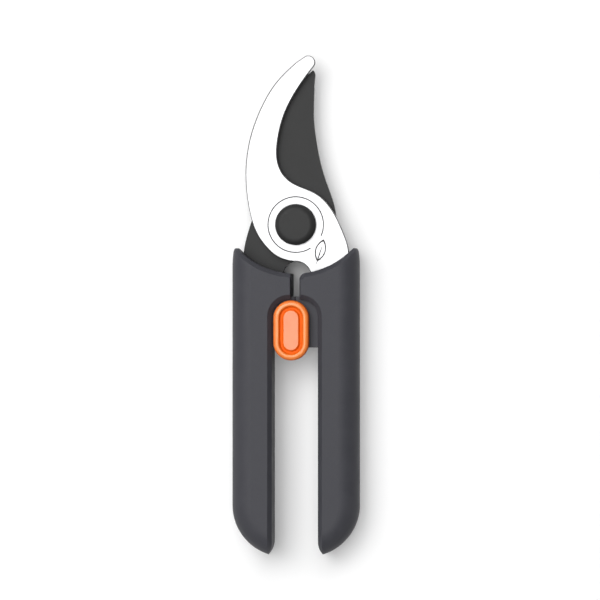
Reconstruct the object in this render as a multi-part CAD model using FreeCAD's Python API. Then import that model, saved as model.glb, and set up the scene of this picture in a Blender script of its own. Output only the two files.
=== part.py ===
import FreeCAD, Part
import math
import os

# Bypass pruning shears, closed, lying on the backs of the handles.
# Millimetres. X across, Y along towards the tips, Z up. The origin is under the middle of the object.
# The left arm carries the blade, the pivot and the sliding lock; the right arm carries the hook.

V = FreeCAD.Vector
UP = V(0, 0, 1)

# ---- driving dimensions ----
HALF_LENGTH = 99.6
HALF_WIDTH = 25.4
PIVOT_Y = 32.1
OPENING_ANGLE = 32.0

# handles
HANDLE_T = 20.0
SPLIT_Z = HANDLE_T / 2
SIDE_ROUND = 8.0
SHOULDER_Y = 22.7
SHOULDER_HALF_WIDTH = 24.7
TAPER_LENGTH = 7.0
SHOULDER_ROUND = 1.0
RIM_R = 31.3
RIM_MIDDLE_Y = 12.5
RIM_CHAMFER = 1.6
LEFT_SLIT = {"half": 1.7, "chamfer": 0.25, "corner_r": 0.0}
RIGHT_SLIT = {"half": 1.9, "chamfer": 0.6, "corner_r": 2.8}
SLIT_CORNER_SINK = 0.05
INNER_X = 9.2
INNER_CHAMFER = 1.7
ARCH_TOP_Y = 2.4
ARCH_CORNER_R = 7.1
END_R = 20.5
END_TIP_X = 10.9
END_RELIEF_Y = -94.5
SEAM_GROOVE = 0.3
CELL_X = (11.7, 21.2)
CELL_FLOOR = 2.4
CELL_YS = (-38.0, -51.0, -64.0)
CELL_LENGTH = 11.0

# flange blocks under the button
FLANGE_GAP = 0.15
FLANGE_Z = (1.6, 16.4)
FLANGE_Y = (-16.9, 3.4)

# plates
BLADE_Z = (6.9, 9.9)
HOOK_Z = (10.0, 13.2)
HUB_R = 14.7
HOOK_NOTCH_R = 6.1
BLADE_NOTCH_R = 5.4
TANG_X = (14.8, 21.4)
TANG_TOP_Y = 16.0
TANG_KNEE_Y = (9.0, 4.0)
TANG_END_Y = -34.0
TANG_CLEARANCE = 0.15
TIP_R = 2.7
TIP_X = 5.0
HOOK_EDGE = 0.3
BLADE_BEVEL_WIDTH = 3.6
BLADE_BEVEL_DEPTH = 2.7
RING_R = 11.1
RING_WIDTH = 0.4
RING_GAP = (-58.0, -24.0)
ENGRAVING_DEPTH = 0.25

# pivot
BOLT_R = 2.95
BORE_R = 3.0
BUSH_R = 4.0
CAP_R = 8.2
CAP_TOP = 17.0
CAP_ROUND = 2.6
STOP_PIN_R = 1.0
STOP_PATH_R = 6.1
STOP_ANGLE = 75.0
STOP_SLOT_R = 1.25
STOP_MARGIN = (3.0, 2.0)

# screws
SCREW_X = 18.1
SCREW_YS = (3.0, -25.0)
END_SCREW = (15.0, -82.0)
SCREW_R = 1.5
SCREW_HEAD_R = 2.9
SCREW_HEAD_Z = (1.2, 3.0)
SCREW_TIP_Z = 16.2
FIT = 0.05

# return spring
SPRING_Y = -3.5
SPRING_Z = 7.4
SPRING_MEAN_R = 3.2
SPRING_WIRE_R = 0.5
SPRING_TURNS = 11
POCKET_R = 4.2
POCKET_X = 12.5
SEAT_R = 3.7
SEAT_T = 1.0
SEAT_NUB_R = 2.2
SEAT_NUB_LENGTH = 3.0

# lock
LOCK_TRAVEL = 5.0
BUTTON_CENTRE = (-1.4, -10.1)
BUTTON_SIZE = (14.1, 23.9)
BUTTON_Z = (16.6, 21.4)
BUTTON_GROOVE_INSET = 2.4
BUTTON_PAD_INSET = 3.9
BUTTON_GROOVE_DEPTH = 1.4
BUTTON_PAD_DROP = 0.35
NECK_X = (-6.4, -3.2)
NECK_Y = (-9.4, -4.4)
LATCH_Z = (12.7, 14.5)
LATCH_BODY_X = (-7.9, -1.6)
LATCH_BODY_Y = (-11.5, -0.8)
FINGER_X = (3.7, 5.3)
FINGER_TIP_Y = -7.8
BRIDGE_BOTTOM_Y = -3.2
KEEPER = (2.2, -10.0)
KEEPER_R = 1.2


# ---- drawing helpers ----
def line(a, b):
    return Part.makeLine(V(a[0], a[1], 0), V(b[0], b[1], 0))


def arc(a, middle, b):
    return Part.Arc(V(*a, 0), V(*middle, 0), V(*b, 0)).toShape()


def on_circle(centre, radius, degrees):
    turn = math.radians(degrees)
    return (centre[0] + radius * math.cos(turn), centre[1] + radius * math.sin(turn))


def circle_arc(centre, radius, start, end):
    points = [on_circle(centre, radius, angle) for angle in (start, (start + end) / 2, end)]
    return arc(*points)


def spline(points, start_direction, end_direction):
    curve = Part.BSplineCurve()
    curve.interpolate(
        Points=[V(*p, 0) for p in points],
        InitialTangent=V(*start_direction, 0),
        FinalTangent=V(*end_direction, 0),
        Scale=True,
    )
    return curve.toShape()


def chain(*points):
    return [line(a, b) for a, b in zip(points, points[1:])]


def prism(edges, z):
    wire = Part.Wire(edges)
    wire.translate(V(0, 0, z[0]))
    return Part.Face(wire).extrude(V(0, 0, z[1] - z[0]))


def box(x, y, z):
    low = V(min(x), min(y), min(z))
    return Part.makeBox(abs(x[1] - x[0]), abs(y[1] - y[0]), abs(z[1] - z[0]), low)


def disc(centre, radius, z):
    return Part.makeCylinder(radius, z[1] - z[0], V(centre[0], centre[1], z[0]))


def stadium(centre, size, z):
    x, y = centre
    radius = size[0] / 2
    straight = size[1] / 2 - radius
    edges = [
        circle_arc((x, y + straight), radius, 0, 180),
        line((x - radius, y + straight), (x - radius, y - straight)),
        circle_arc((x, y - straight), radius, 180, 360),
        line((x + radius, y - straight), (x + radius, y + straight)),
    ]
    return prism(edges, z)


def ring_sector(centre, radii, start, end, z):
    inner, outer = radii
    edges = [
        circle_arc(centre, outer, start, end),
        line(on_circle(centre, outer, end), on_circle(centre, inner, end)),
        circle_arc(centre, inner, end, start),
        line(on_circle(centre, inner, start), on_circle(centre, outer, start)),
    ]
    return prism(edges, z)


def middle_of(edge):
    return edge.valueAt((edge.FirstParameter + edge.LastParameter) / 2)


def edges_where(shape, test):
    return [edge for edge in shape.Edges if test(middle_of(edge), edge)]


def at_height(point, *heights):
    return any(abs(point.z - z) < 1e-4 for z in heights)


def mirrored(shape):
    return shape.mirror(V(0, 0, 0), V(1, 0, 0))


# ---- handles, drawn for the right arm ----
def end_centre():
    return (HALF_WIDTH - END_R, math.sqrt(END_R**2 - (END_TIP_X - HALF_WIDTH + END_R) ** 2) - HALF_LENGTH)


def handle_blank():
    """Long block with a straight outer side, a slight taper at the top and a round lower end."""
    centre = end_centre()
    narrowing = HALF_WIDTH - SHOULDER_HALF_WIDTH
    taper_r = (TAPER_LENGTH**2 + narrowing**2) / (2 * narrowing)
    taper_y = SHOULDER_Y - TAPER_LENGTH
    above = 9.0

    def taper_point(height):
        return (HALF_WIDTH - taper_r + math.sqrt(taper_r**2 - height**2), taper_y + height)

    top = taper_point(TAPER_LENGTH + above)
    edges = [
        line((0, centre[1] - END_R), (0, top[1])),
        line((0, top[1]), top),
        arc(top, taper_point(TAPER_LENGTH), (HALF_WIDTH, taper_y)),
        line((HALF_WIDTH, taper_y), (HALF_WIDTH, centre[1])),
        circle_arc(centre, END_R, 0, -90),
        line((centre[0], centre[1] - END_R), (0, centre[1] - END_R)),
    ]
    blank = prism(edges, (0, HANDLE_T))

    def is_outer(point, edge):
        return at_height(point, 0, HANDLE_T) and point.x > 0.5 and point.y < top[1] - 0.5

    return blank.makeFillet(SIDE_ROUND, edges_where(blank, is_outer))


def arch_void():
    """The space between the handles, with the arch corner at its top."""
    below = -HALF_LENGTH - 10
    corner = (INNER_X - ARCH_CORNER_R, ARCH_TOP_Y - ARCH_CORNER_R)
    edges = chain((-6, below), (INNER_X, below), (INNER_X, corner[1]))
    edges.append(circle_arc(corner, ARCH_CORNER_R, 0, 90))
    edges += chain((corner[0], ARCH_TOP_Y), (-6, ARCH_TOP_Y), (-6, below))
    return prism(edges, (-1, HANDLE_T + 1))


def rim_void(slit):
    """Everything above the round rim and the shoulder; the corner at the slit may be rounded."""
    corner_r = slit["corner_r"]
    centre = (0, RIM_MIDDLE_Y + RIM_R)
    through = (-1, HANDLE_T + 1)
    void = disc(centre, RIM_R, through)
    void = void.fuse(box((0, 60), (SHOULDER_Y, SHOULDER_Y + 20), through))
    shoulder = (SHOULDER_HALF_WIDTH - SHOULDER_ROUND, SHOULDER_Y - SHOULDER_ROUND)
    square = box((shoulder[0], 30), (shoulder[1], SHOULDER_Y + 1), through)
    void = void.fuse(square.cut(disc(shoulder, SHOULDER_ROUND, through)))
    if corner_r:
        rise = RIM_R - math.sqrt(RIM_R**2 - (slit["half"] + corner_r) ** 2)
        corner = (slit["half"] + corner_r - SLIT_CORNER_SINK, RIM_MIDDLE_Y + rise - corner_r)
        square = box((0, corner[0]), (corner[1], RIM_MIDDLE_Y + 2), through)
        void = void.fuse(square.cut(disc(corner, corner_r, through)))
    return void


def end_relief():
    """Rounds the inner corner at the lower end of the handle."""
    start = (INNER_X, END_RELIEF_Y)
    finish = (END_TIP_X + 0.1, -HALF_LENGTH - 0.1)
    edges = [arc(start, (INNER_X + 0.55, END_RELIEF_Y - 3.0), finish)]
    edges += chain(finish, (INNER_X - 1, -HALF_LENGTH - 3), (INNER_X - 1, END_RELIEF_Y), start)
    return prism(edges, (-1, HANDLE_T + 1))


def rim_edges(shape, slit):
    corner_r = slit["corner_r"]
    corner_x = slit["half"] + corner_r

    def test(point, edge):
        ends = [vertex.Point.z for vertex in edge.Vertexes]
        if abs(ends[0] - ends[-1]) > HANDLE_T / 2 + 3:
            return False
        from_centre = math.hypot(point.x, point.y - RIM_MIDDLE_Y - RIM_R)
        on_rim = abs(from_centre - RIM_R) < 1e-3
        in_corner = slit["half"] + 0.01 < point.x < corner_x and point.y > RIM_MIDDLE_Y - corner_r - 1
        return on_rim or (in_corner and at_height(point, 0, HANDLE_T))

    return edges_where(shape, test)


def arch_edges(shape):
    def test(point, edge):
        on_wall = abs(point.x - INNER_X) < 1e-3
        on_corner = ARCH_TOP_Y - ARCH_CORNER_R < point.y < ARCH_TOP_Y + 1e-3 and point.x < INNER_X
        return at_height(point, 0, HANDLE_T) and (on_wall or on_corner)

    return edges_where(shape, test)


def slit_edges(shape, slit):
    def test(point, edge):
        return at_height(point, 0, HANDLE_T) and abs(point.x - slit["half"]) < 1e-3

    return edges_where(shape, test)


def handle_solid(slit):
    through = (-1, HANDLE_T + 1)
    solid = handle_blank().cut(arch_void())
    solid = solid.cut(box((-6, slit["half"]), (ARCH_TOP_Y - 1, 40), through))
    solid = solid.cut(rim_void(slit))
    solid = solid.makeChamfer(RIM_CHAMFER, rim_edges(solid, slit))
    solid = solid.makeChamfer(INNER_CHAMFER, arch_edges(solid))
    solid = solid.makeChamfer(slit["chamfer"], slit_edges(solid, slit))
    solid = solid.cut(end_relief())
    return solid.cut(seam_groove(solid))


def seam_groove(solid):
    """Shallow groove round the handle where the two shells meet."""
    outline = max(solid.slice(UP, SPLIT_Z), key=lambda wire: wire.Length)
    inside = Part.Face(outline).makeOffset2D(-SEAM_GROOVE)
    inside.translate(V(0, 0, -SEAM_GROOVE / 2))
    core = inside.extrude(V(0, 0, SEAM_GROOVE))
    low = SPLIT_Z - SEAM_GROOVE / 2
    slab = box((-1, 30), (-HALF_LENGTH - 1, 30), (low, low + SEAM_GROOVE))
    return slab.cut(core)


def tang_face(notch_r, grow):
    """Flat outline of the part of a plate that lies in a handle, drawn for the right arm."""
    inner, outer = TANG_X
    end_r = (outer - inner) / 2
    end_y = TANG_END_Y + end_r
    top = 31.0
    edges = chain((outer, end_y), (outer, TANG_TOP_Y + 6), (outer - 1.2, top), (notch_r, top))
    edges += chain((notch_r, top), (notch_r, TANG_KNEE_Y[0]), (inner, TANG_KNEE_Y[1]), (inner, end_y))
    edges.append(arc((inner, end_y), ((inner + outer) / 2, TANG_END_Y), (outer, end_y)))
    return Part.Face(Part.Wire(edges)).makeOffset2D(grow)


def tang_pocket(notch_r, z):
    pocket = tang_face(notch_r, TANG_CLEARANCE).extrude(V(0, 0, z[1] - z[0]))
    pocket.translate(V(0, 0, z[0]))
    notch = disc(notch_centre(notch_r), notch_r - TANG_CLEARANCE, z)
    web = box((notch_r / 2, notch_r + 1), (notch_centre(notch_r)[1], 31), z)
    return pocket.fuse(web.cut(notch))


def notch_centre(notch_r):
    return (0, PIVOT_Y - HUB_R - notch_r)


def screw_places():
    return [(SCREW_X, y) for y in SCREW_YS] + [END_SCREW]


def screw_holes():
    holes = []
    for place in screw_places():
        holes.append(disc(place, SCREW_R + FIT, (-1, SCREW_TIP_Z + 0.3)))
        holes.append(disc(place, SCREW_HEAD_R + 0.2, (-1, SCREW_HEAD_Z[1])))
    return holes


def weight_saving_cells():
    cells = []
    for y in CELL_YS:
        cell = box(CELL_X, (y - CELL_LENGTH, y), (CELL_FLOOR, HANDLE_T - CELL_FLOOR))
        upright = [edge for edge in cell.Edges if abs(edge.Vertexes[0].Z - edge.Vertexes[1].Z) > 1]
        cells.append(cell.makeFillet(1.5, upright))
    return cells


def flange():
    return box((FLANGE_GAP, INNER_X + 0.5), FLANGE_Y, FLANGE_Z)


def spring_pocket():
    start = V(-POCKET_X, SPRING_Y, SPRING_Z)
    return Part.makeCylinder(POCKET_R, 2 * POCKET_X, start, V(1, 0, 0))


def handle_arm(slit, notch_r, plate_z):
    """One handle with all the hollows that both arms share, drawn for the right arm."""
    solid = handle_solid(slit).fuse(flange())
    cutters = [tang_pocket(notch_r, plate_z), spring_pocket()] + screw_holes() + weight_saving_cells()
    return solid.cut(cutters)


def split(solid):
    big = (-60, 60), (-120, 120)
    front = solid.cut(box(*big, (-5, SPLIT_Z)))
    back = solid.cut(box(*big, (SPLIT_Z, HANDLE_T + 5)))
    return front.removeSplitter(), back.removeSplitter()


def latch_channel():
    """Room in the left flange for the latch, its neck through the front wall and the screw's way in."""
    clear = 0.3
    channel = box((LATCH_BODY_X[0] - clear, 1), (FLANGE_Y[0] - 1, LATCH_BODY_Y[1] + 1.4),
                  (LATCH_Z[0] - 0.2, LATCH_Z[1] + 0.1))
    slot = box((NECK_X[0] - clear, NECK_X[1] + clear), (NECK_Y[0] - LOCK_TRAVEL - 0.4, NECK_Y[1] + 0.4),
               (LATCH_Z[0], FLANGE_Z[1] + 1))
    way_in = disc(latch_screw_place(), 2.2, (SPLIT_Z - 1, LATCH_Z[0]))
    return [channel, slot, way_in]


def keeper_recess():
    """Room in the right flange for the latch finger, and the hole that holds the keeper stud."""
    clear = 1.2
    lowest_y = FINGER_TIP_Y - LOCK_TRAVEL - clear - 0.6
    recess = box((-1, FINGER_X[1] + clear), (lowest_y, LATCH_BODY_Y[1] + 1.7), (LATCH_Z[0] - 0.4, LATCH_Z[1] + 0.4))
    hole = disc(KEEPER, KEEPER_R + 0.01, (SPLIT_Z - 1, LATCH_Z[0]))
    return [recess, hole]


def left_shells():
    arm = mirrored(handle_arm(LEFT_SLIT, BLADE_NOTCH_R, (BLADE_Z[0] - 0.1, SPLIT_Z)))
    return split(arm.cut(latch_channel()))


def right_shells():
    arm = handle_arm(RIGHT_SLIT, HOOK_NOTCH_R, (HOOK_Z[0] - 0.1, HOOK_Z[1] + 0.1))
    return split(arm.cut(keeper_recess()))


def screws():
    solids = []
    for place in screw_places():
        shank = disc(place, SCREW_R, (SCREW_HEAD_Z[1] - 0.2, SCREW_TIP_Z))
        shank = shank.makeChamfer(0.5, edges_where(shank, lambda p, e: at_height(p, SCREW_TIP_Z)))
        head = disc(place, SCREW_HEAD_R, SCREW_HEAD_Z)
        head = head.makeFillet(0.6, edges_where(head, lambda p, e: at_height(p, SCREW_HEAD_Z[0])))
        socket = hexagon(place, 1.25, (SCREW_HEAD_Z[0] - 1, SCREW_HEAD_Z[0] + 1))
        solids.append(head.fuse(shank).cut(socket))
    return Part.makeCompound(solids)


def hexagon(centre, half_flats, z):
    radius = half_flats / math.cos(math.pi / 6)
    corners = [on_circle(centre, radius, 60 * i) for i in range(7)]
    return prism(chain(*corners), z)


# ---- plates ----
def tang_edges(notch_r):
    """Right-hand tang from its outer top, round its lower end and up to the notch."""
    notch = notch_centre(notch_r)
    inner, outer = TANG_X
    end_r = (outer - inner) / 2
    end_y = TANG_END_Y + end_r
    edges = [line((outer, TANG_TOP_Y), (outer, end_y))]
    edges.append(arc((outer, end_y), ((inner + outer) / 2, TANG_END_Y), (inner, end_y)))
    edges += chain((inner, end_y), (inner, TANG_KNEE_Y[1]), (notch_r, TANG_KNEE_Y[0]), (notch_r, notch[1]))
    edges.append(circle_arc(notch, notch_r, 0, 90))
    return edges


def hook_outline():
    tip = (TIP_X, HALF_LENGTH - TIP_R)
    tip_start = on_circle(tip, TIP_R, 125)
    tip_end = on_circle(tip, TIP_R, -40)
    pivot = (0, PIVOT_Y)
    inner = [tip_end, (1.65, 87.85), (-3.75, 78.3), (-7.15, 66.3), (-6.3, 54.3), (-2.4, 49.5)]
    inner += [(7.7, 44.7), (14.8, 37.5), (19.4, 27.9), (TANG_X[1], TANG_TOP_Y)]
    back = [on_circle(pivot, HUB_R, 225), (-15.2, 27.9), (-19.0, 39.9), (-20.1, 51.9)]
    back += [(-17.8, 68.7), (-11.9, 82.8), (-4.4, 92.7), (0.2, 96.9), tip_start]
    edges = [circle_arc(tip, TIP_R, 125, -40), spline(inner, (-0.643, -0.766), (0, -1))]
    edges += tang_edges(HOOK_NOTCH_R)
    edges.append(circle_arc(pivot, HUB_R, 270, 225))
    edges.append(spline(back, (-0.71, 0.71), (0.82, 0.57)))
    return edges


def blade_outline():
    pivot = (0, PIVOT_Y)
    back_start = on_circle(pivot, HUB_R, -45)
    back = [back_start, (15.9, 34.5), (15.3, 39.1), (12.1, 48.7), (9.3, 58.3), (7.6, 67.9), (6.9, 77.5)]
    back += [(7.1, 87.1), (7.5, 91.6)]
    cutting, cutting_spline = cutting_edge()
    heel = [cutting[-1], (-13.2, 43.5), (-17.0, 36.0), (-19.0, 30.3), (-TANG_X[1], TANG_TOP_Y)]
    edges = [arc(back[-1], (7.4, 92.8), cutting[0])]
    edges.append(cutting_spline)
    edges.append(spline(heel, (-0.6, -0.8), (0, -1)))
    edges += [mirrored(edge) for edge in tang_edges(BLADE_NOTCH_R)]
    edges.append(circle_arc(pivot, HUB_R, 270, 315))
    edges.append(spline(back, (0.71, 0.71), (0.1, 1.0)))
    return edges


def stop_slot():
    """Arc slot in the hook that the stop pin travels along as the shears open."""
    pivot = (0, PIVOT_Y)
    closed = STOP_ANGLE + STOP_MARGIN[0]
    opened = STOP_ANGLE - OPENING_ANGLE - STOP_MARGIN[1]
    z = (HOOK_Z[0] - 1, HOOK_Z[1] + 1)
    radii = (STOP_PATH_R - STOP_SLOT_R, STOP_PATH_R + STOP_SLOT_R)
    slot = ring_sector(pivot, radii, opened, closed, z)
    for angle in (opened, closed):
        slot = slot.fuse(disc(on_circle(pivot, STOP_PATH_R, angle), STOP_SLOT_R, z))
    return slot


def leaf(start, end, bulge, z):
    """Pointed leaf between two points, made of two arcs."""
    middle = ((start[0] + end[0]) / 2, (start[1] + end[1]) / 2)
    length = math.hypot(end[0] - start[0], end[1] - start[1])
    side = ((start[1] - end[1]) / length * bulge, (end[0] - start[0]) / length * bulge)
    left = (middle[0] + side[0], middle[1] + side[1])
    right = (middle[0] - side[0], middle[1] - side[1])
    return prism([arc(start, left, end), arc(end, right, start)], z)


def engraving():
    """Broken ring round the pivot with a plain leaf in the gap."""
    z = (HOOK_Z[1] - ENGRAVING_DEPTH, HOOK_Z[1] + 1)
    radii = (RING_R - RING_WIDTH / 2, RING_R + RING_WIDTH / 2)
    ring = ring_sector((0, PIVOT_Y), radii, RING_GAP[1], RING_GAP[0] + 360, z)
    outline = leaf((8.6, 17.4), (11.2, 26.2), 2.1, z).cut(leaf((8.8, 18.2), (11.0, 25.4), 1.7, z))
    rib = leaf((8.1, 15.9), (10.7, 24.0), 0.2, z)
    return [ring, outline, rib]


def hook():
    plate = prism(hook_outline(), HOOK_Z)

    def is_front_edge(point, edge):
        return at_height(point, HOOK_Z[1]) and point.y > notch_centre(HOOK_NOTCH_R)[1] + 1

    plate = plate.makeChamfer(HOOK_EDGE, edges_where(plate, is_front_edge))
    z = (HOOK_Z[0] - 1, HOOK_Z[1] + 1)
    plate = plate.cut([disc((0, PIVOT_Y), BUSH_R, z), stop_slot()])
    plate = plate.cut([disc(place, SCREW_R + FIT, z) for place in screw_places()[:2]])
    return plate.cut(engraving())


def cutting_edge():
    points = [(6.75, 93.9), (0.2, 88.4), (-6.2, 78.6), (-10.2, 67.4), (-10.9, 57.5), (-9.0, 49.4)]
    return points, spline(points, (-0.75, -0.66), (0.35, -0.94))


def blade_bevel():
    """What the grinder takes off the back face along the cutting edge."""
    edge = cutting_edge()[1]
    sections = 9
    beyond = 1.0
    rise = beyond * BLADE_BEVEL_DEPTH / BLADE_BEVEL_WIDTH
    step = (edge.LastParameter - edge.FirstParameter) / (sections - 1)
    wires = []
    for i in range(sections):
        parameter = edge.FirstParameter + i * step
        point = edge.valueAt(parameter)
        along = edge.tangentAt(parameter)
        outward = along.cross(UP)
        point = point + along * ({0: -2.0, sections - 1: 1.0}.get(i, 0.0))
        width = BLADE_BEVEL_WIDTH * min(1.0, 0.35 + 0.25 * i)
        outer = point + outward * beyond
        inner = point - outward * (width + beyond)
        low = UP * (BLADE_Z[0] - rise)
        high = UP * (BLADE_Z[0] + BLADE_BEVEL_DEPTH + rise)
        wires.append(Part.makePolygon([outer + high, inner + low, outer + low, outer + high]))
    return Part.makeLoft(wires, True, False)


def blade():
    plate = prism(blade_outline(), BLADE_Z).cut(blade_bevel())
    z = (BLADE_Z[0] - 1, BLADE_Z[1] + 1)
    holes = [disc((0, PIVOT_Y), BORE_R, z)]
    holes += [disc((-x, y), SCREW_R + FIT, z) for x, y in screw_places()[:2]]
    holes.append(disc(stop_pin_place(), STOP_PIN_R, (BLADE_Z[0] + 0.6, BLADE_Z[1] + 1)))
    return plate.cut(holes)


# ---- pivot ----
def stop_pin_place():
    return on_circle((0, PIVOT_Y), STOP_PATH_R, STOP_ANGLE)


def opening_stop_pin():
    pin = disc(stop_pin_place(), STOP_PIN_R, (BLADE_Z[0] + 0.6, HOOK_Z[1] - 0.2))
    return pin.makeChamfer(0.2, edges_where(pin, lambda p, e: at_height(p, HOOK_Z[1] - 0.2)))


def washer(inner, outer, z):
    return disc((0, PIVOT_Y), outer, z).cut(disc((0, PIVOT_Y), inner, (z[0] - 1, z[1] + 1)))


def pivot_bush():
    return washer(BORE_R, BUSH_R, (HOOK_Z[0] + 0.05, HOOK_Z[1]))


def front_washer():
    return washer(BORE_R, 6.6, (HOOK_Z[1] + 0.05, HOOK_Z[1] + 0.75))


def pivot_bolt():
    head_z = (HOOK_Z[1] + 0.75, HOOK_Z[1] + 2.05)
    head = disc((0, PIVOT_Y), 6.2, head_z)
    shank = disc((0, PIVOT_Y), BOLT_R, (1.3, head_z[0] + 0.2))
    shank = shank.makeChamfer(0.5, edges_where(shank, lambda p, e: at_height(p, 1.3)))
    return head.fuse(shank)


def pivot_cap():
    bottom = HOOK_Z[1] + 0.1
    cap = disc((0, PIVOT_Y), CAP_R, (bottom, CAP_TOP))
    cap = cap.makeFillet(CAP_ROUND, edges_where(cap, lambda p, e: at_height(p, CAP_TOP)))
    hollow = disc((0, PIVOT_Y), 6.75, (bottom - 1, HOOK_Z[1] + 2.15))
    return cap.cut(hollow)


def back_washer():
    return washer(BORE_R, 6.6, (BLADE_Z[0] - 0.9, BLADE_Z[0]))


def lock_washer():
    """Split spring washer between the nut and the back washer."""
    z = (BLADE_Z[0] - 1.9, BLADE_Z[0] - 0.9)
    ring = washer(BORE_R + 0.1, 4.9, z)
    return ring.cut(box((2, 6), (PIVOT_Y - 0.3, PIVOT_Y + 0.3), (z[0] - 1, z[1] + 1)))


def pivot_nut():
    z = (2.0, BLADE_Z[0] - 1.9)
    body = hexagon((0, PIVOT_Y), 5.0, z)
    rounded = disc((0, PIVOT_Y), 5.5, z)
    rims = edges_where(rounded, lambda p, e: at_height(p, *z))
    rounded = rounded.makeChamfer(0.5, rims)
    return body.common(rounded).cut(disc((0, PIVOT_Y), BORE_R, (0, 10)))


# ---- return spring ----
def return_spring():
    """Coil spring between the two arms, its axis across the flanges."""
    length = 2 * (POCKET_X - SEAT_T) - 2 * SPRING_WIRE_R - 0.4
    helix = Part.makeHelix(length / SPRING_TURNS, length, SPRING_MEAN_R)
    profile = Part.Wire(Part.makeCircle(SPRING_WIRE_R, V(SPRING_MEAN_R, 0, 0), V(0, 1, 0)))
    coil = Part.Wire(helix.Edges).makePipeShell([profile], True, True)
    coil.rotate(V(0, 0, 0), V(0, 1, 0), 90)
    coil.translate(V(-length / 2, SPRING_Y, SPRING_Z))
    return coil


def spring_seat():
    """Cup end that centres the spring, drawn for the right arm."""
    floor = V(POCKET_X, SPRING_Y, SPRING_Z)
    plate = Part.makeCylinder(SEAT_R, SEAT_T, floor, V(-1, 0, 0))
    nub = Part.makeCylinder(SEAT_NUB_R, SEAT_T + SEAT_NUB_LENGTH, floor, V(-1, 0, 0))
    end_x = POCKET_X - SEAT_T - SEAT_NUB_LENGTH
    nub = nub.makeChamfer(0.5, edges_where(nub, lambda p, e: abs(p.x - end_x) < 1e-4))
    return plate.fuse(nub)


# ---- lock ----
def latch_screw_place():
    return ((NECK_X[0] + NECK_X[1]) / 2, (NECK_Y[0] + NECK_Y[1]) / 2)


def lock_button():
    """Stadium button with a raised ridge, a groove and a pad, and a neck that reaches the latch."""
    inner_size = [side - 2 * BUTTON_GROOVE_INSET for side in BUTTON_SIZE]
    pad_size = [side - 2 * BUTTON_PAD_INSET for side in BUTTON_SIZE]
    top = BUTTON_Z[1]
    floor = top - BUTTON_GROOVE_DEPTH
    body = stadium(BUTTON_CENTRE, BUTTON_SIZE, BUTTON_Z)
    body = body.makeFillet(1.5, edges_where(body, lambda p, e: at_height(p, top)))
    body = body.cut(stadium(BUTTON_CENTRE, inner_size, (floor, top + 1)))
    body = body.makeFillet(0.7, edges_where(body, lambda p, e: at_height(p, top)))
    pad = stadium(BUTTON_CENTRE, pad_size, (floor - 0.5, top - BUTTON_PAD_DROP))
    pad = pad.makeFillet(0.4, edges_where(pad, lambda p, e: at_height(p, top - BUTTON_PAD_DROP)))
    body = body.fuse(pad).removeSplitter()
    body = body.makeFillet(0.6, edges_where(body, lambda p, e: at_height(p, floor)))
    neck = box(NECK_X, NECK_Y, (LATCH_Z[1], BUTTON_Z[0] + 0.5))
    body = body.fuse(neck)
    return body.cut(disc(latch_screw_place(), 0.8 + FIT, (LATCH_Z[0], BUTTON_Z[1] - 2.4)))


def lock_latch():
    """Plate under the button with a finger that reaches over into the right arm."""
    body = box(LATCH_BODY_X, LATCH_BODY_Y, LATCH_Z)
    bridge = box((LATCH_BODY_X[1] - 0.5, FINGER_X[1]), (BRIDGE_BOTTOM_Y, LATCH_BODY_Y[1]), LATCH_Z)
    finger = box(FINGER_X, (FINGER_TIP_Y, BRIDGE_BOTTOM_Y + 0.5), LATCH_Z)
    plate = body.fuse([bridge, finger]).removeSplitter()
    upright = [e for e in plate.Edges if abs(e.Vertexes[0].Z - e.Vertexes[1].Z) > 1]
    plate = plate.makeFillet(0.5, upright)
    hole = disc(latch_screw_place(), 0.8 + FIT, (LATCH_Z[0] - 1, LATCH_Z[1] + 1))
    head = disc(latch_screw_place(), 1.7, (LATCH_Z[0] - 1, LATCH_Z[0] + 0.9))
    return plate.cut([hole, head])


def latch_screw():
    place = latch_screw_place()
    shank = disc(place, 0.8, (LATCH_Z[0] + 0.5, BUTTON_Z[1] - 2.6))
    head = disc(place, 1.6, (LATCH_Z[0] + 0.05, LATCH_Z[0] + 0.85))
    return head.fuse(shank).cut(hexagon(place, 0.6, (LATCH_Z[0] - 1, LATCH_Z[0] + 0.45)))


def keeper_stud():
    return disc(KEEPER, KEEPER_R, (SPLIT_Z + 0.05, LATCH_Z[1] + 0.2))


# ---- the whole object ----
def build_nodes():
    left_front, left_back = left_shells()
    right_front, right_back = right_shells()
    return {
        "blade": blade(),
        "hook": hook(),
        "left_front_shell": left_front,
        "left_back_shell": left_back,
        "right_front_shell": right_front,
        "right_back_shell": right_back,
        "left_shell_screws": mirrored(screws()),
        "right_shell_screws": screws(),
        "pivot_bolt": pivot_bolt(),
        "pivot_bush": pivot_bush(),
        "pivot_cap": pivot_cap(),
        "front_washer": front_washer(),
        "back_washer": back_washer(),
        "lock_washer": lock_washer(),
        "pivot_nut": pivot_nut(),
        "opening_stop_pin": opening_stop_pin(),
        "return_spring": return_spring(),
        "left_spring_seat": mirrored(spring_seat()),
        "right_spring_seat": spring_seat(),
        "lock_button": lock_button(),
        "lock_latch": lock_latch(),
        "latch_screw": latch_screw(),
        "keeper_stud": keeper_stud(),
    }


os.makedirs("parts", exist_ok=True)
for name, shape in build_nodes().items():
    shape.exportStep("parts/" + name + ".step")
    print(name, len(shape.Solids), round(shape.Volume, 1), shape.isValid())
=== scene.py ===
import math

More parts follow.
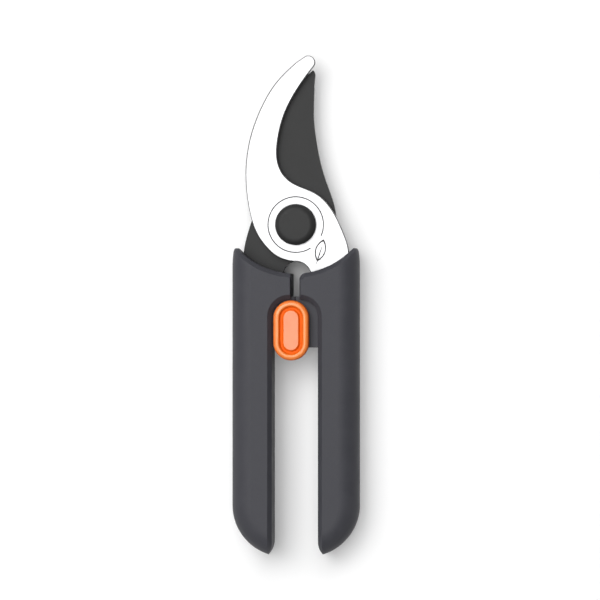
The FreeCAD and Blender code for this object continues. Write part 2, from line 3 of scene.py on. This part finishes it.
import bmesh
import bpy
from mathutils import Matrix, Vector


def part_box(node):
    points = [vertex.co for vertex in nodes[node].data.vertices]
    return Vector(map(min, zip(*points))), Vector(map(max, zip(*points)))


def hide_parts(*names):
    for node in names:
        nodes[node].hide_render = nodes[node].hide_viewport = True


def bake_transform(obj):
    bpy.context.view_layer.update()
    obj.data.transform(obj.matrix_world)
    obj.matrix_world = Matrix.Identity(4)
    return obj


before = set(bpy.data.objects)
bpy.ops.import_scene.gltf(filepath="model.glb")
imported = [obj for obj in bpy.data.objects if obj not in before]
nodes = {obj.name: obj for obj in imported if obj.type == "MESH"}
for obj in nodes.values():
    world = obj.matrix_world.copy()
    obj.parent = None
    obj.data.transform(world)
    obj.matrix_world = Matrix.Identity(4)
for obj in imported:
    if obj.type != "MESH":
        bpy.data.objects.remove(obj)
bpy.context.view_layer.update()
scene = bpy.context.scene
MM = 0.001


# ---- node helpers ----
class Shader:
    """A principled material whose colour, roughness and bump come from procedural nodes."""

    def __init__(self, name, settings):
        """The settings are plain values by socket name."""
        self.material = bpy.data.materials.new(name)
        self.material.use_nodes = True
        self.tree = self.material.node_tree
        self.bsdf = self.tree.nodes["Principled BSDF"]
        self.coords = self.tree.nodes.new("ShaderNodeTexCoord")
        for socket, value in settings.items():
            self.bsdf.inputs[socket].default_value = value

    def put(self, socket, value):
        """Links an output to a socket, or sets the socket to a plain value; None leaves it alone."""
        if isinstance(value, bpy.types.NodeSocket):
            self.tree.links.new(value, socket)
        elif value is not None:
            socket.default_value = value

    def math(self, operation, *values):
        n = self.tree.nodes.new("ShaderNodeMath")
        n.operation = operation
        for socket, value in zip(n.inputs, values):
            self.put(socket, value)
        return n.outputs[0]

    def times(self, first, *others):
        for other in others:
            first = self.math("MULTIPLY", first, other)
        return first

    def noise(self, size_mm, detail=3, roughness=0.55, stretch=(1, 1, 1), distortion=0):
        """Noise in the object's own frame; a small stretch factor draws it out along that axis."""
        place = self.tree.nodes.new("ShaderNodeMapping")
        self.put(place.inputs["Vector"], self.coords.outputs["Object"])
        place.inputs["Scale"].default_value = stretch
        n = self.tree.nodes.new("ShaderNodeTexNoise")
        self.put(n.inputs["Vector"], place.outputs[0])
        n.inputs["Scale"].default_value = 1 / (size_mm * MM)
        n.inputs["Detail"].default_value = detail
        n.inputs["Roughness"].default_value = roughness
        n.inputs["Distortion"].default_value = distortion
        return n.outputs["Fac"]

    def remap(self, value, low, high, to_low=0.0, to_high=1.0):
        n = self.tree.nodes.new("ShaderNodeMapRange")
        n.interpolation_type = "SMOOTHSTEP"
        for socket, number in zip(n.inputs, (value, low, high, to_low, to_high)):
            self.put(socket, number)
        return n.outputs[0]

    def spread(self, noise, low, high):
        """Spreads a noise over a range of values."""
        return self.remap(noise, 0.3, 0.7, low, high)

    def mix(self, factor, a, b):
        n = self.tree.nodes.new("ShaderNodeMix")
        n.data_type = "RGBA"
        self.put(n.inputs["Factor"], factor)
        self.put(n.inputs["A"], a)
        self.put(n.inputs["B"], b)
        return n.outputs["Result"]

    def blotches(self, noise, a, b, most=1.0):
        """Soft patches of colour b on colour a; most is the largest share of b."""
        return self.mix(self.remap(noise, 0.35, 0.65, 0, most), a, b)

    def specks(self, noise, a, b, most=1.0):
        """As blotches, with a slower change from one colour to the other."""
        return self.mix(self.spread(noise, 0, most), a, b)

    def axes(self, kind):
        """x, y and z of the point in metres ("Object") or of the normal ("Normal"), in the object's frame."""
        n = self.tree.nodes.new("ShaderNodeSeparateXYZ")
        self.put(n.inputs[0], self.coords.outputs[kind])
        return n.outputs

    def rounded(self, radius_mm):
        """The surface normal, softened at sharp edges."""
        n = self.tree.nodes.new("ShaderNodeBevel")
        n.samples = 6
        n.inputs["Radius"].default_value = radius_mm * MM
        return n.outputs[0]

    def edges(self, radius_mm, low, high):
        """1 on sharp edges and 0 on flat ground."""
        geometry = self.tree.nodes.new("ShaderNodeNewGeometry")
        dot = self.tree.nodes.new("ShaderNodeVectorMath")
        dot.operation = "DOT_PRODUCT"
        self.put(dot.inputs[0], self.rounded(radius_mm))
        self.put(dot.inputs[1], geometry.outputs["Normal"])
        return self.remap(self.math("SUBTRACT", 1.0, dot.outputs["Value"]), low, high)

    def wear(self, edge_mm, edge_fade, patch_mm, patch_fade, detail=4):
        """Rubbed edges, broken up into patches."""
        patches = self.remap(self.noise(patch_mm, detail), *patch_fade)
        return self.times(self.edges(edge_mm, *edge_fade), patches)

    def bump(self, height, distance_mm, strength, normal=None):
        n = self.tree.nodes.new("ShaderNodeBump")
        n.inputs["Strength"].default_value = strength
        n.inputs["Distance"].default_value = distance_mm * MM
        self.put(n.inputs["Height"], height)
        self.put(n.inputs["Normal"], normal)
        return n.outputs[0]

    def finish(self, colour, roughness=None, normal=None, metallic=None):
        self.put(self.bsdf.inputs["Base Color"], colour)
        self.put(self.bsdf.inputs["Roughness"], roughness)
        self.put(self.bsdf.inputs["Normal"], normal)
        self.put(self.bsdf.inputs["Metallic"], metallic)
        return self.material


def grey(value, blue=0.0):
    return (value, value, value + blue, 1.0)


# ---- where masks fade in, from 0 to 1: places in metres, slopes as the z of the normal ----
BEVEL_SLOPE = (-0.985, -0.97)           # the blade's ground bevel, off the flat back
BEVEL_SIDE_SLOPE = (-0.6, -0.75)        # and off the side faces
BEVEL_HEEL_Y = (44 * MM, 45 * MM)
HOOK_EDGE_SLOPE = (0.95, 0.9)           # the hook's ground edge, painted darker as shade, off the flat front
HOOK_SIDE_SLOPE = (0.4, 0.5)            # and off the side faces
ETCHED_SLOPE = (0.9, 0.99)              # the flat floor of the hook's engraving
ETCHED_Z = (13.19 * MM, 13.17 * MM)
ETCHED_LEAST_Z = (11 * MM, 11.5 * MM)
BUTTON_HIGH_Z = (20.2 * MM, 20.8 * MM)  # from the button's side, painted in shade, up to its lighter top
BUTTON_TOP_SLOPE = (0.5, 0.97)
# the crest of the ring, painted lighter as a highlight
BUTTON_CREST_Z = (21.07 * MM, 21.3 * MM)

GLOW = 0.24                             # the floor's own light
DIM_X = (22 * MM, 8 * MM)               # painted shade: the floor's glow is lowered towards the gap between the handles
DIM_FRONT_Y = (34 * MM, 20 * MM)
DIM_END_Y = (-118 * MM, -98 * MM)
DIM_FULL_Y = (-14 * MM, -2 * MM)        # fully near the pivot, and by DIM_PART of that further down
DIM_PART = 0.42


# ---- materials ----
def handle_plastic():
    """Dark grey moulded plastic with a fine grain, rubbed lighter along its edges."""
    s = Shader("handle_plastic", {"Specular IOR Level": 0.2})
    grain = s.noise(0.28, 2, 0.6)
    cloud = s.noise(9, 3, 0.5)
    rub = s.wear(0.5, (0.05, 0.5), 2.2, (0.42, 0.66))
    base = s.blotches(cloud, (0.0436, 0.0438, 0.0517, 1), (0.0486, 0.0488, 0.0570, 1))
    base = s.specks(grain, base, (0.057, 0.0573, 0.0655, 1), most=0.35)
    colour = s.mix(s.times(rub, 0.5), base, (0.090, 0.089, 0.098, 1))
    roughness = s.math("SUBTRACT", s.spread(cloud, 0.50, 0.58), s.times(rub, 0.12))
    return s.finish(colour, roughness, s.bump(grain, 0.02, 0.55, s.rounded(0.25)))


def coated_steel():
    """Dark coating over steel, which is bare on the blade's bevel and shows through at worn edges."""
    s = Shader("coated_steel", {"Specular IOR Level": 0.18})
    fine = s.noise(0.16, 3, 0.6)
    cloud = s.noise(6, 3, 0.5)
    y = s.axes("Object")["Y"]
    slope = s.axes("Normal")["Z"]
    bevel = s.times(
        s.remap(slope, *BEVEL_SLOPE), s.remap(slope, *BEVEL_SIDE_SLOPE), s.remap(y, *BEVEL_HEEL_Y))
    worn = s.wear(0.12, (0.1, 0.5), 1.6, (0.5, 0.62), detail=5)
    bare = s.math("MAXIMUM", bevel, s.times(worn, 0.55))
    coat = s.blotches(cloud, grey(0.0226), grey(0.0256))
    coat = s.blotches(fine, coat, grey(0.032), most=0.3)
    steel = s.mix(s.noise(0.5, 3, 0.6, stretch=(1, 0.06, 1)), grey(0.52), grey(0.66))
    roughness = s.math("ADD", s.spread(cloud, 0.46, 0.52), s.times(bare, -0.16))
    return s.finish(s.mix(bare, coat, steel), roughness, s.bump(fine, 0.008, 0.6, s.rounded(0.12)), bare)


def brushed(s, low, high):
    """Colour, roughness and bump of steel brushed along y, from grey low to grey high."""
    lines = s.noise(0.22, 3, 0.65, stretch=(1, 0.03, 1))
    cloud = s.noise(11, 3, 0.5)
    scratch = s.remap(s.noise(0.9, 2, 0.5, stretch=(1, 0.05, 1), distortion=0.6), 0.70, 0.74)
    colour = s.specks(lines, grey(low, 0.006), grey(high, 0.006))
    colour = s.mix(s.times(scratch, 0.25), colour, grey(0.45))
    roughness = s.math("ADD", s.spread(cloud, 0.34, 0.40), s.times(lines, 0.08))
    return colour, roughness, s.bump(lines, 0.004, 0.5, s.rounded(0.05))


def bright_steel():
    s = Shader("bright_steel", {"Metallic": 1.0})
    return s.finish(*brushed(s, 0.46, 0.54))


def hook_steel():
    """Brushed steel whose ground edges are rougher and painted darker, a painted shade for the dark
    reflection they catch; the floor of the engraving is dark and not metallic.
    """
    s = Shader("hook_steel", {"Metallic": 1.0})
    colour, roughness, normal = brushed(s, 0.40, 0.46)
    z = s.axes("Object")["Z"]
    slope = s.axes("Normal")["Z"]
    etched = s.times(s.remap(slope, *ETCHED_SLOPE), s.remap(z, *ETCHED_Z), s.remap(z, *ETCHED_LEAST_Z))
    ground = s.times(s.remap(slope, *HOOK_EDGE_SLOPE), s.remap(slope, *HOOK_SIDE_SLOPE))
    # painted shade: the ground edges are painted grey 0.2 for the dark reflection they catch
    colour = s.mix(etched, s.mix(ground, colour, grey(0.2)), grey(0.02))
    roughness = s.math("ADD", roughness, s.times(s.math("MAXIMUM", etched, ground), 0.2))
    return s.finish(colour, roughness, normal, s.math("SUBTRACT", 1.0, etched))


def dark_screw():
    s = Shader("dark_screw_steel", {"Metallic": 1.0})
    fine = s.noise(0.3, 3, 0.6)
    worn = s.wear(0.12, (0.08, 0.45), 0.8, (0.4, 0.6))
    colour = s.mix(s.times(worn, 0.7), s.specks(fine, grey(0.10), grey(0.145)), grey(0.48))
    return s.finish(colour, s.spread(fine, 0.34, 0.46), s.bump(fine, 0.006, 0.5, s.rounded(0.08)))


def bronze():
    s = Shader("bronze", {"Metallic": 1.0})
    pores = s.noise(0.25, 3, 0.6)
    colour = s.specks(pores, (0.46, 0.29, 0.13, 1), (0.62, 0.42, 0.2, 1))
    return s.finish(colour, s.spread(pores, 0.34, 0.48), s.bump(pores, 0.008, 0.6))


def black_plastic():
    s = Shader("black_plastic", {})
    grain = s.noise(0.25, 2, 0.6)
    cloud = s.noise(4, 3, 0.5)
    colour = s.blotches(cloud, grey(0.012), grey(0.019))
    return s.finish(colour, s.spread(cloud, 0.42, 0.52), s.bump(grain, 0.01, 0.5, s.rounded(0.15)))


def orange_plastic():
    """Orange plastic painted deeper on the sides and in the groove (painted shade) and lighter towards the
    top, lightest on the crest of the raised ring (painted highlight); the top is glossy and has a pad inside
    the ring.
    """
    s = Shader("orange_plastic", {"Specular IOR Level": 0.08, "Coat Roughness": 0.22})
    grain = s.noise(0.22, 2, 0.6)
    cloud = s.noise(5, 3, 0.5)
    z = s.axes("Object")["Z"]
    slope = s.axes("Normal")["Z"]
    high = s.remap(z, *BUTTON_HIGH_Z)
    top = s.times(high, s.remap(slope, *BUTTON_TOP_SLOPE))
    side = s.blotches(cloud, (0.74, 0.106, 0.002, 1), (0.78, 0.121, 0.003, 1))
    flank = s.blotches(cloud, (0.80, 0.180, 0.022, 1), (0.84, 0.200, 0.030, 1))
    pad = s.blotches(cloud, (0.80, 0.185, 0.046, 1), (0.84, 0.205, 0.056, 1))
    crest_highlight = s.blotches(cloud, (0.82, 0.225, 0.038, 1), (0.86, 0.245, 0.046, 1))
    rub = s.wear(0.3, (0.05, 0.45), 1.4, (0.45, 0.65))
    # painted shade on the sides and in the groove below the top, a painted highlight on the crest of the ring
    colour = s.mix(top, s.mix(high, side, flank), s.mix(s.remap(z, *BUTTON_CREST_Z), pad, crest_highlight))
    colour = s.mix(s.times(rub, 0.25), colour, (1.0, 0.42, 0.2, 1))
    s.put(s.bsdf.inputs["Coat Weight"], top)
    return s.finish(colour, s.spread(cloud, 0.32, 0.40), s.bump(grain, 0.006, 0.5, s.rounded(0.15)))


def floor_paint():
    """Pale and slightly lit from below, like a light table; the glow is lowered close under the handles, a
    painted shade where their shadow falls.
    """
    s = Shader("floor_paint", {
        "Roughness": 0.9, "Specular IOR Level": 0.1, "Emission Color": (1, 1, 1, 1)})
    x, y, z = s.axes("Object")
    near = s.times(s.remap(s.math("ABSOLUTE", x), *DIM_X), s.remap(y, *DIM_FRONT_Y), s.remap(y, *DIM_END_Y))
    # painted shade: the floor's glow is lowered under and between the handles, where their shadow falls
    painted_shade = s.times(near, s.remap(y, *DIM_FULL_Y, DIM_PART, 1.0))
    s.put(s.bsdf.inputs["Emission Strength"], s.math("MULTIPLY_ADD", painted_shade, -GLOW, GLOW))
    return s.finish(s.specks(s.noise(160, 2, 0.5), grey(0.69), grey(0.71)))


def dress(material, *names):
    for name in names:
        mesh = nodes[name].data
        mesh.materials.clear()
        mesh.materials.append(material)


steel = bright_steel()
dress(handle_plastic(), "left_front_shell", "left_back_shell", "right_front_shell", "right_back_shell")
dress(coated_steel(), "blade", "pivot_cap")
dress(hook_steel(), "hook")
dress(steel, "pivot_bolt", "pivot_nut", "opening_stop_pin", "keeper_stud")
dress(steel, "front_washer", "back_washer", "lock_washer")
dress(dark_screw(), "left_shell_screws", "right_shell_screws", "latch_screw")
dress(bronze(), "pivot_bush")
dress(black_plastic(), "left_spring_seat", "right_spring_seat", "lock_latch")
dress(orange_plastic(), "lock_button")


# ---- return spring ----
SPRING_TURNS = 11
WIRE_R = 0.5 * MM
WIRE_SIDES = 12
STEPS_PER_TURN = 30
CLOSED_PITCH = 1.05 * MM
ALONG = Vector((1, 0, 0))


def advance(turn, length):
    """How far along its axis the wire is after that many turns; the two end turns are wound closed."""
    open_pitch = (length - 2 * CLOSED_PITCH) / (SPRING_TURNS - 2)
    if turn < 1:
        return turn * CLOSED_PITCH
    if turn > SPRING_TURNS - 1:
        return length - (SPRING_TURNS - turn) * CLOSED_PITCH
    return CLOSED_PITCH + (turn - 1) * open_pitch


def wire_ring(bm, start, turn, coil_r, length):
    """The ring of points round the wire after that many turns."""
    outward = Vector((0, math.sin(math.tau * turn), math.cos(math.tau * turn)))
    wire = start + ALONG * advance(turn, length) + outward * coil_r
    angles = [math.tau * side / WIRE_SIDES for side in range(WIRE_SIDES)]
    return [bm.verts.new(wire + (outward * math.cos(a) + ALONG * math.sin(a)) * WIRE_R) for a in angles]


def make_spring(material):
    low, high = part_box("return_spring")
    middle = (low + high) / 2
    coil_r = (high.z - low.z) / 2 - WIRE_R
    length = high.x - low.x - 2 * WIRE_R
    start = Vector((low.x + WIRE_R, middle.y, middle.z))
    bm = bmesh.new()
    turns = [i / STEPS_PER_TURN for i in range(SPRING_TURNS * STEPS_PER_TURN + 1)]
    rings = [wire_ring(bm, start, turn, coil_r, length) for turn in turns]
    for a, b in zip(rings, rings[1:]):
        for side in range(WIRE_SIDES):
            following = (side + 1) % WIRE_SIDES
            bm.faces.new((a[side], a[following], b[following], b[side]))
    bm.faces.new(rings[0])
    bm.faces.new(rings[-1])
    bmesh.ops.recalc_face_normals(bm, faces=bm.faces)
    mesh = bpy.data.meshes.new("spring_coil")
    bm.to_mesh(mesh)
    bm.free()
    mesh.shade_smooth()
    mesh.materials.append(material)
    spring = bpy.data.objects.new("spring_coil", mesh)
    scene.collection.objects.link(spring)
    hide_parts("return_spring")
    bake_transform(spring)


make_spring(steel)


# ---- floor, light and camera ----
FLOOR_REACH = 3.0
FLOOR_Z = -0.02 * MM                # just clear of the handles, so that no faces coincide
SOFTBOX_SIDE = 1.0
SOFTBOXES = (                       # name, place, radiance
    ("overhead", (0.0, 0.0, 1.9), 4.0),
    ("left_high", (-0.8, 0.0, 1.72), 1.55),
    ("left_above", (-0.75, 0.65, 1.6), 4.5),
    ("left_below", (-0.75, -0.65, 1.6), 0.9),
    ("left_low", (-1.45, 0.0, 1.22), 0.6),
    ("top", (0.0, 1.05, 1.58), 3.3),
    ("bottom", (0.0, -1.05, 1.58), 0.4),
)
HORIZON, SKY = 0.30, 0.07           # strengths of the world's light
HORIZON_TOP, SKY_START = 0.22, 0.52     # z of the direction, between which one fades into the other
CAMERA_TILT = math.radians(3.9)
CAMERA_DISTANCE = 1.6
CAMERA_SENSOR = 36                  # mm
VIEW_HEIGHT = 0.2400
CAMERA_TARGET = (1.5 * MM, 2.0 * MM, 10 * MM)


def make_floor():
    r = FLOOR_REACH
    mesh = bpy.data.meshes.new("floor")
    mesh.from_pydata([(-r, -r, 0), (r, -r, 0), (r, r, 0), (-r, r, 0)], [], [(0, 1, 2, 3)])
    mesh.materials.append(floor_paint())
    floor = bpy.data.objects.new("floor", mesh)
    floor.location = (0, 0, FLOOR_Z)
    scene.collection.objects.link(floor)


def softbox(name, place, radiance):
    """A square soft light of that radiance, turned to the middle of the object."""
    data = bpy.data.lights.new(name, "AREA")
    data.shape = "SQUARE"
    data.size = SOFTBOX_SIDE
    data.energy = radiance * math.pi * SOFTBOX_SIDE * SOFTBOX_SIDE
    light = bpy.data.objects.new(name, data)
    light.location = place
    towards = Vector((0, 0, 0)) - light.location
    light.rotation_euler = towards.to_track_quat("-Z", "Y").to_euler()
    scene.collection.objects.link(light)


def make_world():
    """A pale horizon that fades into a darker sky."""
    world = bpy.data.worlds.new("studio")
    scene.world = world
    world.use_nodes = True
    tree = world.node_tree
    place = tree.nodes.new("ShaderNodeTexCoord")
    split = tree.nodes.new("ShaderNodeSeparateXYZ")
    fade = tree.nodes.new("ShaderNodeMapRange")
    fade.interpolation_type = "SMOOTHSTEP"
    for socket, number in zip(fade.inputs[1:], (HORIZON_TOP, SKY_START, HORIZON, SKY)):
        socket.default_value = number
    background = tree.nodes["Background"]
    background.inputs["Color"].default_value = (1, 1, 1, 1)
    tree.links.new(place.outputs["Generated"], split.inputs[0])
    tree.links.new(split.outputs["Z"], fade.inputs["Value"])
    tree.links.new(fade.outputs[0], background.inputs["Strength"])


def make_camera():
    data = bpy.data.cameras.new("camera")
    data.sensor_width = CAMERA_SENSOR
    data.lens = CAMERA_SENSOR * CAMERA_DISTANCE / VIEW_HEIGHT
    camera = bpy.data.objects.new("camera", data)
    away = Vector((math.sin(CAMERA_TILT), 0, math.cos(CAMERA_TILT)))
    camera.location = Vector(CAMERA_TARGET) + away * CAMERA_DISTANCE
    camera.rotation_euler = (0, CAMERA_TILT, 0)
    scene.collection.objects.link(camera)
    scene.camera = camera


make_floor()
for name, place, radiance in SOFTBOXES:
    softbox(name, place, radiance)
make_world()
make_camera()
scene.view_settings.view_transform = "Standard"
